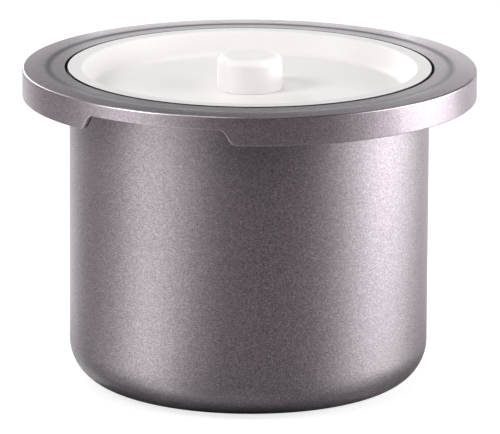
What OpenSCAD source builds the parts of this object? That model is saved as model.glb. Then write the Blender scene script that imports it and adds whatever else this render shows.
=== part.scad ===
// Removable inner pot of a wax warmer: a cast pot, a moulded collar with finger notches,
// and a dished drop-in lid with a screwed-on knob.
// Millimetres, +Z up. The origin is the centre of the pot's flat base.
// The finger notches face -Y and +Y.

/* [Pot] */
// Outer diameter of the pot's wall
pot_d = 120.4; // [100:0.2:124]
// Thickness of the pot's wall
pot_wall = 2; // [1.4:0.1:3]
// Thickness of the pot's floor
pot_floor = 3; // [2:0.25:6]
// Outside radius between wall and floor
pot_corner_r = 14.2; // [6:0.1:20]
// Height of the pot's rim above its base
pot_h = 105.1; // [80:0.1:140]
// Rounding of the two edges of the pot's rim
pot_rim_r = 0.5; // [0.2:0.1:0.7]

/* [Pot flange] */
// How far the carrying flange stands out of the wall
flange_w = 3.8; // [3:0.1:5]
// Thickness of the carrying flange and its lugs
flange_t = 1.8; // [1.2:0.1:2.4]
// How far below the pot's rim the flange's upper face lies
flange_drop = 3.1; // [2.8:0.1:3.6]
// Diameter of each screw lug
lug_d = 9.2; // [7:0.1:10]
// Diameter of the clearance hole in each lug
lug_hole_d = 3; // [2.8:0.1:3.4]

/* [Collar] */
// How far the collar's outer edge stands out from the pot's wall
collar_w = 15.8; // [15:0.2:24]
// Height of the skirt, from the collar's top face to its lower edge
skirt_h = 9.8; // [8:0.1:14]
// Thickness of the skirt
skirt_t = 2; // [1.6:0.1:3]
// Thickness of the collar's top plate
plate_t = 2.6; // [2:0.1:2.8]
// Thickness of the collar's inner wall, which stands round the pot's neck
neck_t = 1.8; // [1.4:0.1:2]
// Gap between the pot's neck and the collar
neck_gap = 0.3; // [0.1:0.05:0.5]
// Rounding of the collar's outer top edge
collar_top_r = 0.8; // [0.3:0.1:1.4]
// Rounding of the skirt's lower edges
skirt_edge_r = 0.5; // [0.2:0.1:0.7]
// Rounding of the collar's inner edge round the lid
mouth_r = 1.2; // [0.5:0.1:1.6]

/* [Collar groove] */
// Distance from the collar's outer edge to the middle of the shallow groove in its top face
groove_inset = 8.7; // [7.5:0.1:9]
// Width of the groove
groove_w = 5; // [3:0.25:6]
// Depth of the groove
groove_depth = 0.22; // [0.1:0.02:0.4]

/* [Finger notches] */
// Width of a notch at the skirt's lower edge
notch_w = 55.6; // [40:0.2:64]
// Height of skirt that is left above a notch
notch_left_h = 4.7; // [4.2:0.1:5.5]
// Slope of the notch's ends, measured from the level
notch_slope = 46; // [35:1:70]
// Radius of the two curves in each of the notch's ends
notch_curve_r = 2; // [0.5:0.1:2.4]

/* [Collar ribs and bosses] */
// Number of stiffening ribs under the collar's plate
rib_count = 16; // [8:4:24]
// Thickness of a rib
rib_t = 1.4; // [1:0.1:2]
// Height of a rib under the plate
rib_h = 1.9; // [1:0.1:2.1]
// Diameter of a screw boss
boss_d = 6.4; // [5.6:0.1:7]

/* [Collar screws] */
// Number of collar screws
collar_screw_count = 4; // [4:4:8]
// Diameter of a collar screw's shank
collar_screw_d = 2.5; // [2:0.1:2.6]
// Length of a collar screw's shank
collar_screw_l = 5; // [4:0.1:5.2]
// Diameter of a collar screw's head
collar_head_d = 4.8; // [4:0.1:5.2]
// Height of a collar screw's head
collar_head_h = 1.5; // [1.2:0.1:1.8]

/* [Gasket] */
// Thickness of the gasket
gasket_t = 0.6; // [0.4:0.1:1]
// Width of the gasket's section
gasket_w = 1.6; // [1.2:0.1:1.7]

/* [Lid] */
// How far the lid's rim stands out past the pot's wall
lid_overhang = 0.7; // [0:0.1:1.2]
// Gap round the lid
lid_gap = 1.2; // [0.8:0.1:1.6]
// Thickness of the lid's rim
lid_rim_t = 2.2; // [1.8:0.1:2.4]
// Width of the lid's rim, from its edge to the dish
lid_rim_w = 5.1; // [4.8:0.1:9]
// How far the dish's wall leans inwards from its mouth to its floor
dish_lean_w = 3.8; // [2:0.1:8]
// Depth of the dish
dish_depth = 7.4; // [6:0.1:12]
// Thickness of the dish's wall and floor
dish_t = 2; // [1.4:0.1:2.4]
// Rounding of the lid's outer edge
lid_edge_r = 0.6; // [0.3:0.1:0.9]
// Rounding of the edge between the lid's rim and its dish
dish_edge_r = 1.2; // [0.5:0.1:1.6]
// Radius between the dish's wall and floor
dish_corner_r = 2.6; // [1:0.1:4]

/* [Knob] */
// Diameter of the knob
knob_d = 21.8; // [18:0.2:30]
// Height of the knob above the dish's floor
knob_h = 11.5; // [10:0.1:16]
// Rounding of the knob's top edge
knob_top_r = 4; // [2:0.1:4.5]
// Thickness of the knob's outer wall
knob_wall = 2.2; // [1.6:0.1:2.6]
// Diameter of the knob's middle boss
knob_boss_d = 10; // [9:0.1:11]
// Depth of the hollow round the boss
knob_core_h = 6.5; // [4:0.1:7]

/* [Knob fixing] */
// Outer diameter of the threaded insert
insert_d = 5.6; // [5:0.1:6]
// Length of the threaded insert
insert_l = 6.8; // [5:0.1:7]
// Diameter of the knob screw's shank
knob_screw_d = 4; // [3:0.1:4.2]
// Length of the knob screw's shank
knob_screw_l = 9; // [8:0.1:9.4]
// Diameter of the knob screw's head
knob_head_d = 7.8; // [7:0.1:9]
// Height of the knob screw's head
knob_head_h = 2.6; // [2:0.1:3]
// Diameter of the washer
washer_d = 10; // [9:0.1:14]
// Thickness of the washer
washer_t = 0.8; // [0.5:0.1:1.2]

/* [Clearances] */
// Radial gap round a screw's shank in the part that it is driven into
thread_gap = 0.05; // [0.02:0.01:0.08]
// Radial gap round the knob screw in the lid and the washer
shank_gap = 0.2; // [0.1:0.05:0.4]
// Gap between a screw boss and the gasket beside it
boss_gap = 0.3; // [0.1:0.05:0.4]
// How much deeper a blind hole is than what it holds
hole_spare = 0.3; // [0.1:0.05:0.4]

/* [Hidden] */
$fn = 96;
bite = 0.5;             // how far a cutting solid runs past the face it cuts

// pot
pot_r = pot_d / 2;
lid_r = pot_r + lid_overhang;
pot_in_r = pot_r - pot_wall;
flange_top_z = pot_h - flange_drop;
flange_z = flange_top_z - flange_t;
flange_r = pot_r + flange_w;

// collar
top_z = pot_h + lid_rim_t;
collar_r = pot_r + collar_w;
skirt_in_r = collar_r - skirt_t;
skirt_z = top_z - skirt_h;
plate_z = top_z - plate_t;
neck_in_r = pot_r + neck_gap;
neck_out_r = neck_in_r + neck_t;
mouth_in_r = lid_r + lid_gap;
neck_z = flange_top_z + gasket_t;
groove_curve_r = (pow(groove_w / 2, 2) + pow(groove_depth, 2)) / (2 * groove_depth);

// collar screws, their lugs and bosses
screw_circle_r = neck_in_r + gasket_w + boss_gap + boss_d / 2;
first_screw_a = 180 / collar_screw_count;
boss_hole_r = collar_screw_d / 2 + thread_gap;
boss_hole_l = collar_screw_l - flange_t + hole_spare;

// lid and knob
dish_r = lid_r - lid_rim_w;
dish_floor_r = dish_r - dish_lean_w;
dish_z = top_z - dish_depth;
dish_under_z = dish_z - dish_t;
washer_z = dish_under_z - washer_t;
insert_pocket_l = insert_l + hole_spare;

// Points along an arc from angle a to angle b round (x, y)
function arc(x, y, r, a, b, n = 8) =
    [for (i = [0:n]) [x + r * cos(a + (b - a) * i / n), y + r * sin(a + (b - a) * i / n)]];

// Section of a round vessel: flat base, a corner of radius c, straight wall of radius r
module vessel_section(r, c, h) {
    square([r - c, h]);
    translate([0, c]) square([r, h - c]);
    translate([r - c, c]) circle(c);
}

// One copy of the children at each collar screw
module at_collar_screws() {
    for (i = [0:collar_screw_count - 1])
        rotate(first_screw_a + i * 360 / collar_screw_count)
            translate([screw_circle_r, 0, 0]) children();
}

// Pan-head screw with a cross recess. The head hangs below z = 0 and the shank stands above it.
module pan_screw(shank_d, shank_l, head_d, head_h) {
    slot_l = 0.6 * head_d;
    slot_w = 0.13 * head_d;
    slot_depth = 0.55 * head_h;
    edge = 0.45 * head_h;
    difference() {
        union() {
            cylinder(d = shank_d, h = shank_l);
            rotate_extrude()
                polygon(concat([[0, 0], [0, -head_h]],
                               arc(head_d / 2 - edge, edge - head_h, edge, -90, 0),
                               [[head_d / 2, 0]]));
        }
        for (a = [0, 90])
            rotate(a)
                translate([-slot_l / 2, -slot_w / 2, -head_h - bite])
                    cube([slot_l, slot_w, slot_depth + bite]);
    }
}

module pot_shell() {
    color([0.55, 0.52, 0.55])
    difference() {
        union() {
            rotate_extrude($fn = 180) vessel_section(pot_r, pot_corner_r, pot_h - pot_rim_r);
            // rim with its two rounded edges
            rotate_extrude($fn = 180)
                polygon(concat([[pot_in_r - bite, pot_h - pot_rim_r - bite],
                                [pot_r, pot_h - pot_rim_r - bite]],
                               arc(pot_r - pot_rim_r, pot_h - pot_rim_r, pot_rim_r, 0, 90),
                               [[pot_in_r - bite, pot_h]]));
            translate([0, 0, flange_z]) cylinder(r = flange_r, h = flange_t, $fn = 180);
            translate([0, 0, flange_z]) at_collar_screws() cylinder(d = lug_d, h = flange_t);
        }
        translate([0, 0, pot_floor])
            rotate_extrude($fn = 180)
                vessel_section(pot_in_r, pot_corner_r - pot_wall, pot_h - pot_floor - pot_rim_r);
        // mouth, opened out by the rounding of the rim's inner edge
        rotate_extrude($fn = 180)
            polygon(concat([[0, pot_h - pot_rim_r - bite], [pot_in_r, pot_h - pot_rim_r - bite]],
                           arc(pot_in_r + pot_rim_r, pot_h - pot_rim_r, pot_rim_r, 180, 90),
                           [[pot_in_r + pot_rim_r, pot_h + bite], [0, pot_h + bite]]));
        translate([0, 0, flange_z - bite])
            at_collar_screws() cylinder(d = lug_hole_d, h = flange_t + 2 * bite);
    }
}

// Upright section of a finger notch, in the plane seen from the front, open below
module notch_section() {
    r = notch_curve_r;
    s = notch_slope;
    low = skirt_z;
    high = top_z - notch_left_h;
    run = r * tan(s / 2);                    // from a curve's end to the corner it rounds
    foot_x = notch_w / 2 - run;              // corner at the skirt's lower edge
    head_x = foot_x - (high - low) / tan(s); // corner under the collar's plate
    half = concat([[notch_w / 2 + bite, low - bite], [notch_w / 2 + bite, low]],
                  arc(foot_x + run, low + r, r, -90, -90 - s),
                  arc(head_x - run, high - r, r, 90 - s, 90));
    left = [for (i = [len(half) - 1:-1:0]) [-half[i][0], half[i][1]]];
    polygon(concat(half, left));
}

module rim_collar() {
    color([0.55, 0.53, 0.56])
    difference() {
        union() {
            collar_ring();
            collar_ribs();
            intersection() {
                translate([0, 0, flange_top_z])
                    at_collar_screws() cylinder(d = boss_d, h = plate_z + bite - flange_top_z);
                difference() {
                    cylinder(r = collar_r, h = top_z - bite);
                    cylinder(r = neck_in_r, h = top_z);
                }
            }
        }
        translate([0, 0, flange_top_z - bite])
            at_collar_screws() cylinder(r = boss_hole_r, h = boss_hole_l + bite);
        // the two finger notches, one cut right across the collar under its plate
        difference() {
            translate([0, collar_r + bite, 0])
                rotate([90, 0, 0]) linear_extrude(2 * (collar_r + bite)) notch_section();
            cylinder(r = skirt_in_r - bite, h = top_z);
        }
    }
}

// Plate, skirt and inner wall of the collar, with the groove in its top face
module collar_ring() {
    rotate_extrude($fn = 180)
    difference() {
        polygon(concat(
            [[neck_in_r, neck_z], [neck_out_r, neck_z], [neck_out_r, plate_z],
             [skirt_in_r, plate_z]],
            arc(skirt_in_r + skirt_edge_r, skirt_z + skirt_edge_r, skirt_edge_r, 180, 270, 4),
            arc(collar_r - skirt_edge_r, skirt_z + skirt_edge_r, skirt_edge_r, -90, 0, 4),
            arc(collar_r - collar_top_r, top_z - collar_top_r, collar_top_r, 0, 90, 6),
            arc(mouth_in_r + mouth_r, top_z - mouth_r, mouth_r, 90, 180, 6),
            [[mouth_in_r, pot_h], [neck_in_r, pot_h]]));
        translate([collar_r - groove_inset, top_z - groove_depth + groove_curve_r])
            circle(groove_curve_r, $fn = 180);
    }
}

// Radial ribs under the plate, between the inner wall and the skirt
module collar_ribs() {
    reach_in = (neck_in_r + neck_out_r) / 2;
    reach_out = (skirt_in_r + collar_r) / 2;
    for (i = [0:rib_count - 1])
        rotate((i + 0.5) * 360 / rib_count)
            translate([reach_in, -rib_t / 2, plate_z - rib_h])
                cube([reach_out - reach_in, rib_t, rib_h + bite]);
}

module collar_gasket() {
    color([0.25, 0.25, 0.27])
    translate([0, 0, flange_top_z])
        difference() {
            cylinder(r = neck_in_r + gasket_w, h = gasket_t, $fn = 180);
            translate([0, 0, -bite]) cylinder(r = neck_in_r, h = gasket_t + 2 * bite, $fn = 180);
        }
}

module collar_screws() {
    color([0.75, 0.75, 0.77])
    translate([0, 0, flange_z])
        at_collar_screws()
            pan_screw(collar_screw_d, collar_screw_l, collar_head_d, collar_head_h);
}

module lid_dish() {
    // lean of the dish's wall, and how far each rounding's tangent point is from its corner
    lean = atan(dish_lean_w / dish_depth);
    turn = 90 - lean;
    low_run = dish_corner_r * tan(turn / 2);
    high_run = dish_edge_r * tan(turn / 2);
    // the outer face is the inner one moved out by the wall's thickness
    under_corner_x = dish_floor_r + dish_t * tan(turn / 2);
    under_r = dish_corner_r + dish_t;
    root_x = under_corner_x + (dish_depth - lid_rim_t + dish_t) * tan(lean);
    color([0.94, 0.93, 0.92])
    difference() {
        rotate_extrude($fn = 180)
            polygon(concat(
                [[0, dish_under_z]],
                arc(dish_floor_r - low_run, dish_z + dish_corner_r, under_r, -90, -lean),
                [[root_x, top_z - lid_rim_t]],
                [[lid_r - lid_edge_r / 2, top_z - lid_rim_t],
                 [lid_r, top_z - lid_rim_t + lid_edge_r / 2]],
                arc(lid_r - lid_edge_r, top_z - lid_edge_r, lid_edge_r, 0, 90, 5),
                arc(dish_r + high_run, top_z - dish_edge_r, dish_edge_r, 90, 180 - lean, 6),
                arc(dish_floor_r - low_run, dish_z + dish_corner_r, dish_corner_r, -lean, -90),
                [[0, dish_z]]));
        translate([0, 0, dish_under_z - bite])
            cylinder(r = knob_screw_d / 2 + shank_gap, h = dish_t + 2 * bite, $fn = 48);
    }
}

module lid_knob() {
    r = knob_d / 2;
    color([0.95, 0.94, 0.93])
    translate([0, 0, dish_z])
        difference() {
            rotate_extrude($fn = 128)
                polygon(concat([[0, 0], [r, 0]],
                               arc(r - knob_top_r, knob_h - knob_top_r, knob_top_r, 0, 90, 12),
                               [[0, knob_h]]));
            // moulded hollow round the middle boss
            difference() {
                translate([0, 0, -bite]) cylinder(r = r - knob_wall, h = knob_core_h + bite);
                translate([0, 0, -2 * bite]) cylinder(d = knob_boss_d, h = knob_core_h + 3 * bite);
            }
            translate([0, 0, -bite])
                cylinder(d = insert_d, h = insert_pocket_l + bite, $fn = 48);
        }
}

module knob_insert() {
    color([0.78, 0.62, 0.3])
    translate([0, 0, dish_z])
        difference() {
            cylinder(d = insert_d, h = insert_l, $fn = 48);
            translate([0, 0, -bite])
                cylinder(r = knob_screw_d / 2 + thread_gap, h = insert_l + 2 * bite, $fn = 48);
        }
}

module knob_washer() {
    color([0.78, 0.78, 0.8])
    translate([0, 0, washer_z])
        difference() {
            cylinder(d = washer_d, h = washer_t);
            translate([0, 0, -bite])
                cylinder(r = knob_screw_d / 2 + shank_gap, h = washer_t + 2 * bite, $fn = 48);
        }
}

module knob_screw() {
    color([0.75, 0.75, 0.77])
    translate([0, 0, washer_z])
        pan_screw(knob_screw_d, knob_screw_l, knob_head_d, knob_head_h);
}

pot_shell();
rim_collar();
collar_gasket();
collar_screws();
lid_dish();
lid_knob();
knob_insert();
knob_washer();
knob_screw();
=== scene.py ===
"""Removable wax warmer pot: looks for its collar, cup, lid, knob and fixings.

Sizes are in millimetres until a mesh is finished, which turns it into metres.
The axis of the pot is Z, its base is at zero and the finger notches face -Y and +Y.
"""

import math
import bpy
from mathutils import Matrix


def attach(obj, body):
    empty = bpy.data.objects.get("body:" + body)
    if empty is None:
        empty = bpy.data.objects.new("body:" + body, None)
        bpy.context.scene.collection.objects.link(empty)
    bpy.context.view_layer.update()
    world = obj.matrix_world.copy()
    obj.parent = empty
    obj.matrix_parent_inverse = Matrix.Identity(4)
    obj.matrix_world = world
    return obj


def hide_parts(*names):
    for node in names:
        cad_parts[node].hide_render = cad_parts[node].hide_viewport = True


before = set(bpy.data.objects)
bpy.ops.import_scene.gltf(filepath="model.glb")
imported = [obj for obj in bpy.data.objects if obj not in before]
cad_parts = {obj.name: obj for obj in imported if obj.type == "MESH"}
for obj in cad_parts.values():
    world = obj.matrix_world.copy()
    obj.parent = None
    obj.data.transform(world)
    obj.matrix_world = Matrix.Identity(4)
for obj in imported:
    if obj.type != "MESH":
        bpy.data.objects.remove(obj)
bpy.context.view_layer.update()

import bmesh
import bpy
from mathutils import Matrix, Vector

MM = 0.001
UP = Vector((0, 0, 1))
FULL_TURN = 2 * math.pi
# Slack when two lengths are compared
SLACK = 0.01
# Vertices closer than this are merged
MERGE_DISTANCE = 0.002
# Vertices this close to the axis, a height or a radius are on it
LEVEL = 1e-6
# Angle of a crease between two faces, in radians
CREASE = 1.2
# Steps of a full turn of the large round pieces
ROUND_STEPS = 192

# Pot
POT_R = 60.2
POT_WALL = 2.0
POT_FLOOR = 3.0
POT_CORNER_R = 14.2
POT_H = 105.1
POT_RIM_R = 0.5

# Carrying flange of the pot, with its lugs for the collar screws
FLANGE_R = 64.0
FLANGE_Z = 100.2
FLANGE_T = 1.8
FLANGE_ROUND = 0.25
FLANGE_STEPS = 720
# How far the flange reaches into the wall of the cup
FLANGE_SINK = 0.2
LUG_R = 4.6
LUG_HOLE_R = 1.5
SCREW_CIRCLE_R = 65.6
SCREW_ANGLES = (45, 135, 225, 315)

# Collar: plate, skirt and neck
TOP_Z = 107.3
COLLAR_R = 76.0
SKIRT_Z = 97.5
SKIRT_IN_R = 74.0
SKIRT_INNER_ROUND = 0.4
SKIRT_OUTER_ROUND = 0.35
PLATE_Z = 104.7
PLATE_CORNER_R = 0.5
NECK_IN_R = 60.5
NECK_OUT_R = 62.3
NECK_Z = 102.6
MOUTH_R = 61.75

# Roundings of the collar's top edge and mouth, and how far each lies below its top
TOP_EDGE_ROUND = 0.6
TOP_EDGE_DROP = 0.2
MOUTH_ROUND = 0.15
MOUTH_DROP = 0.15

# Relief of the collar's top: radius, and how far it lies below the highest level.
# A level land round the mouth, a short rise, and a broad face that falls to the edge.
TOP_RELIEF = (
    (62.6, 0.15),
    (65.6, 0.145),
    (66.4, 0.138),
    (67.0, 0.118),
    (67.5, 0.085),
    (68.0, 0.045),
    (68.6, 0.015),
    (69.3, 0.0),
    (70.0, 0.004),
    (70.8, 0.018),
    (71.6, 0.04),
    (72.4, 0.067),
    (73.2, 0.098),
    (74.0, 0.131),
    (74.8, 0.166),
)

# Deeper than any part of that relief
RELIEF_DEPTH = 0.3

# Where the near-black inside, which paints shade in the gaps, starts on the skirt's lower edge,
# and how far it reaches out past the mouth
DARK_INSIDE_R = 74.8
MOUTH_DARK = 0.14

# Painted shade in the rise of the collar's top: its radius, how far it reaches and how strong it is
STEP_R = 67.4
STEP_REACH = 1.9
STEP_SHADE = 1.0

# Painted highlight along the skirt's lower edge
LOWER_EDGE_HIGHLIGHT = 0.25

# Painted highlight and painted shade along the top edge, in degrees past a notch's middle: a pale
# painted highlight from one side to the other, each with its ramp, then painted shade until it
# fades out
HIGHLIGHT_FROM = -34.0
HIGHLIGHT_FROM_RAMP = 10.0
HIGHLIGHT_TO = 16.0
HIGHLIGHT_TO_RAMP = 8.0
EDGE_SHADE_FADE = 45.0
EDGE_SHADE_END = 60.0

# Finger notches
NOTCH_W = 56.7
NOTCH_TOP_Z = 102.6
NOTCH_SLOPE = math.radians(60)
NOTCH_CURVE_R = 2.2

# Rings in the skirt's walls, and the height above which a notch leaves the walls as they are
LOW_RING_Z = 99.0
HIGH_RING_Z = 102.0
HOLD_Z = PLATE_Z - PLATE_CORNER_R

# Steps of the collar: fine between these distances from a notch's middle, coarser elsewhere
FINE_FROM = 16.5
FINE_TO = 29.5
FINE_STEPS = 44
NOTCH_STEPS = 16
SIDE_STEPS = 64

# Ribs under the collar's plate
RIB_COUNT = 16
RIB_IN_R = 61.6
RIB_OUT_R = 74.6
RIB_LOW_Z = 102.8
RIB_TOP_Z = 105.0
RIB_T = 1.4
RIB_ROUND = 0.3

# Bosses under the collar's plate
BOSS_R = 3.2
BOSS_HOLE_R = 1.3
BOSS_LOW_Z = 102.0
BOSS_HOLE_TOP_Z = 105.3
BOSS_TOP_Z = 105.8

# Gasket
GASKET_IN_R = 60.5
GASKET_OUT_R = 62.1
GASKET_LOW_Z = 102.0
GASKET_TOP_Z = 102.6
GASKET_ROUND = 0.12

# Lid
LID_R = 60.85
LID_TOP_Z = 107.3
LID_RIM_Z = 105.1
LID_HOLE_R = 2.2
LID_EDGE_ROUND = 0.15
LID_UNDER_ROUND = 0.3
DISH_R = 55.8
DISH_FLOOR_R = 52.0
DISH_Z = 99.9
DISH_T = 2.0
DISH_LIP_ROUND = 1.2
DISH_CORNER_ROUND = 2.6
DISH_UNDER_ROUND = 4.6

# Painted shade on the side of the lid's rim down to a depth, for the shadow in the gap round it;
# the rim's top a little darker
GAP_SHADE_H = 0.7
GAP_SHADE_FADE_H = 0.3
GAP_SHADE_IN = 0.12
RIM_TOP_DEPTH = 0.03
RIM_TOP_DARKENING = 0.13

# Knob: a shell with a post in it, which the insert sits in
KNOB_R = 10.9
KNOB_H = 11.5
KNOB_TOP_R = 2.8
KNOB_SHELL_IN_R = 8.7
KNOB_ROOF_Z = 106.4
KNOB_POST_R = 5.0
KNOB_BORE_R = 2.8
KNOB_BORE_Z = 107.0

# Washer
WASHER_R = 5.0
WASHER_HOLE_R = 2.2
WASHER_Z = 97.1
WASHER_TOP_Z = 97.9

# Insert: its bore, the heights and radii of its knurled bands, and its knurl
INSERT_BORE_R = 2.05
INSERT_LOW_Z = 99.9
INSERT_TOP_Z = 106.7
INSERT_BANDS = (
    (INSERT_LOW_Z, 2.55),
    (100.4, 2.78),
    (102.6, 2.78),
    (102.9, 2.5),
    (103.7, 2.5),
    (104.0, 2.78),
    (106.3, 2.78),
    (INSERT_TOP_Z, 2.6),
)
KNURL_R = 2.7
KNURL_STEP = 5
KNURL_EVERY = 3
KNURL_CUT = 0.95

# Pan heads: their rounded edge and recess, as shares of the head's height or radius
HEAD_EDGE = 0.45
CROSS_LENGTH = 1.2
CROSS_WIDTH = 0.26
CROSS_DEPTH = 0.55
CROSS_TAPER = 0.72

# Threads: where they start and how far from the tip they end, steps of a turn, half widths of
# the ridge's foot and crest as shares of the pitch, and how far each lies below its radius
THREAD_START = 0.45
THREAD_END_GAP = 0.9
THREAD_STEPS = 24
THREAD_FOOT = 0.4
THREAD_CREST = 0.08
THREAD_FOOT_SINK = 0.12
THREAD_CREST_DROP = 0.02


# ------------ mesh helpers


def new_object(bm, name, body, replaced=None, sharp=32):
    """Turns a finished bmesh in millimetres into a piece that rides on a body."""
    bmesh.ops.scale(bm, vec=(MM, MM, MM), verts=bm.verts)
    mesh = bpy.data.meshes.new(name)
    bm.to_mesh(mesh)
    bm.free()
    mesh.shade_smooth()
    mesh.set_sharp_from_angle(angle=math.radians(sharp))
    piece = bpy.data.objects.new(name, mesh)
    bpy.context.scene.collection.objects.link(piece)
    weigh = piece.modifiers.new("even_shading", "WEIGHTED_NORMAL")
    weigh.keep_sharp = True
    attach(piece, body)
    if replaced:
        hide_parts(replaced)
    return piece


def dress(piece, *materials):
    """Puts materials on a piece, in the order of their slots, and keeps what each face has."""
    faces = piece.data.polygons
    slots = [face.material_index for face in faces]
    piece.data.materials.clear()
    for material in materials:
        piece.data.materials.append(material)
    faces.foreach_set("material_index", slots)


def section_edges(bm, corners):
    """Draws a section in the XZ plane from corners (r, z, rounding, steps) and rounds them.

    Returns the edges of its outline, without the face.
    """
    verts = [bm.verts.new((corner[0], 0, corner[1])) for corner in corners]
    bm.faces.new(verts)
    count = len(corners)
    for i, corner in enumerate(corners):
        if len(corner) < 3:
            continue
        here = Vector(corner[:2])
        before = Vector(corners[i - 1][:2]) - here
        after = Vector(corners[(i + 1) % count][:2]) - here
        half = before.angle(after) / 2
        bmesh.ops.bevel(
            bm,
            geom=[verts[i]],
            offset=corner[2] / math.tan(half),
            segments=corner[3],
            profile=0.5,
            affect="VERTICES",
            material=-1,
        )
    face = bm.faces[:][0]
    edges = face.edges[:]
    bmesh.ops.delete(bm, geom=[face], context="FACES_ONLY")
    return edges


def close_and_face_outwards(bm):
    """Merges doubles, drops what has no area and turns all faces outwards."""
    bmesh.ops.remove_doubles(bm, verts=bm.verts, dist=MERGE_DISTANCE)
    bmesh.ops.dissolve_degenerate(bm, edges=bm.edges, dist=MERGE_DISTANCE / 4)
    bmesh.ops.recalc_face_normals(bm, faces=bm.faces)


def verts_of(geom):
    """The vertices among what an operator made."""
    return [part for part in geom if isinstance(part, bmesh.types.BMVert)]


def edges_of(geom):
    """The edges among what an operator made."""
    return [part for part in geom if isinstance(part, bmesh.types.BMEdge)]


def round_edges(bm, edges, radius, steps):
    """Rounds edges of a shape."""
    bmesh.ops.bevel(
        bm,
        geom=edges,
        offset=radius,
        segments=steps,
        profile=0.5,
        affect="EDGES",
        material=-1,
    )


def spin(bm, geom, angle, steps, climb=0.0, whole=False):
    """Spins parts of a shape round Z, which may climb at each step, and returns the last copy."""
    made = bmesh.ops.spin(
        bm,
        geom=geom,
        cent=(0, 0, 0),
        axis=(0, 0, 1),
        dvec=(0, 0, climb),
        angle=angle,
        steps=steps,
        use_merge=whole,
    )
    return made["geom_last"]


def turn_about_z(bm, verts, angle):
    """Turns vertices round Z."""
    bmesh.ops.rotate(bm, cent=(0, 0, 0), matrix=Matrix.Rotation(angle, 3, "Z"), verts=verts)


def turn_section(bm, corners, steps):
    """Spins a closed section round Z into a solid of revolution."""
    edges = section_edges(bm, corners)
    axis_edges = [e for e in edges if all(abs(v.co.x) < LEVEL for v in e.verts)]
    bmesh.ops.delete(bm, geom=axis_edges, context="EDGES")
    spin(bm, bm.verts[:] + bm.edges[:], FULL_TURN, steps, whole=True)
    close_and_face_outwards(bm)


def turned_piece(name, body, corners, steps, replaced=None):
    """A whole piece that is one solid of revolution."""
    bm = bmesh.new()
    turn_section(bm, corners, steps)
    return new_object(bm, name, body, replaced)


# ------------ pot


def make_pot():
    """Cup of the pot; the second material is for the coat inside it."""
    inner = POT_R - POT_WALL
    corners = [
        (0, 0),
        (POT_R, 0, POT_CORNER_R, 20),
        (POT_R, POT_H, POT_RIM_R, 4),
        (inner, POT_H, POT_RIM_R, 4),
        (inner, POT_FLOOR, POT_CORNER_R - POT_WALL, 18),
        (0, POT_FLOOR),
    ]
    pot = turned_piece("pot_cup", "pot", corners, ROUND_STEPS, "pot_shell")
    for face in pot.data.polygons:
        outward = face.center.xy.dot(face.normal.xy) > 0
        under = face.normal.z < -0.5
        rim = face.center.z > (POT_H - POT_RIM_R) * MM
        face.material_index = 0 if outward or under or rim else 1
    return pot


def lug_reach(angle):
    """Outline of the flange: its radius at an angle, swelling round each lug."""
    reach = FLANGE_R
    for lug in SCREW_ANGLES:
        off = math.radians((angle - lug + 180) % 360 - 180)
        side = SCREW_CIRCLE_R * math.sin(off)
        if math.cos(off) > 0 and abs(side) < LUG_R:
            far = SCREW_CIRCLE_R * math.cos(off) + math.sqrt(LUG_R**2 - side**2)
            reach = max(reach, far)
    return reach


def make_flange():
    """Carrying flange cast on the pot, with a drilled lug for each collar screw."""
    bm = bmesh.new()
    bmesh.ops.create_circle(bm, segments=FLANGE_STEPS, radius=1)
    for v in bm.verts:
        angle = math.degrees(math.atan2(v.co.y, v.co.x)) % 360
        v.co *= lug_reach(angle)
    bmesh.ops.create_circle(bm, segments=ROUND_STEPS, radius=POT_R - FLANGE_SINK)
    for lug in SCREW_ANGLES:
        turn = Matrix.Rotation(math.radians(lug), 4, "Z")
        place = turn @ Matrix.Translation((SCREW_CIRCLE_R, 0, 0))
        bmesh.ops.create_circle(bm, segments=24, radius=LUG_HOLE_R, matrix=place)
    bmesh.ops.triangle_fill(bm, use_beauty=True, edges=bm.edges, normal=UP)
    top = bmesh.ops.extrude_face_region(bm, geom=bm.faces[:])
    bmesh.ops.translate(bm, vec=(0, 0, FLANGE_T), verts=verts_of(top["geom"]))
    bmesh.ops.translate(bm, vec=(0, 0, FLANGE_Z), verts=bm.verts)
    bmesh.ops.recalc_face_normals(bm, faces=bm.faces)
    creases = [e for e in bm.edges if e.is_manifold and e.calc_face_angle(0) > CREASE]
    outer = [e for e in creases if all(v.co.xy.length > POT_R + 1 for v in e.verts)]
    round_edges(bm, outer, FLANGE_ROUND, 2)
    return new_object(bm, "pot_flange", "pot")


# ------------ collar


def notch_edge_z(x):
    """Height of the skirt's lower edge at a distance x from a notch's middle."""
    run = NOTCH_CURVE_R * math.tan(NOTCH_SLOPE / 2)
    foot = NOTCH_W / 2 - run
    head = foot - (NOTCH_TOP_Z - SKIRT_Z) / math.tan(NOTCH_SLOPE)
    bend = NOTCH_CURVE_R * math.sin(NOTCH_SLOPE)
    x = abs(x)
    low_start = foot + run - bend
    high_end = head - run + bend
    if x >= foot + run:
        return SKIRT_Z
    if x > low_start:
        side = foot + run - x
        return SKIRT_Z + NOTCH_CURVE_R - math.sqrt(NOTCH_CURVE_R**2 - side**2)
    if x > high_end:
        return SKIRT_Z + (foot - x) * math.tan(NOTCH_SLOPE)
    if x > head - run:
        side = x - (head - run)
        return NOTCH_TOP_Z - NOTCH_CURVE_R + math.sqrt(NOTCH_CURVE_R**2 - side**2)
    return NOTCH_TOP_Z


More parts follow.
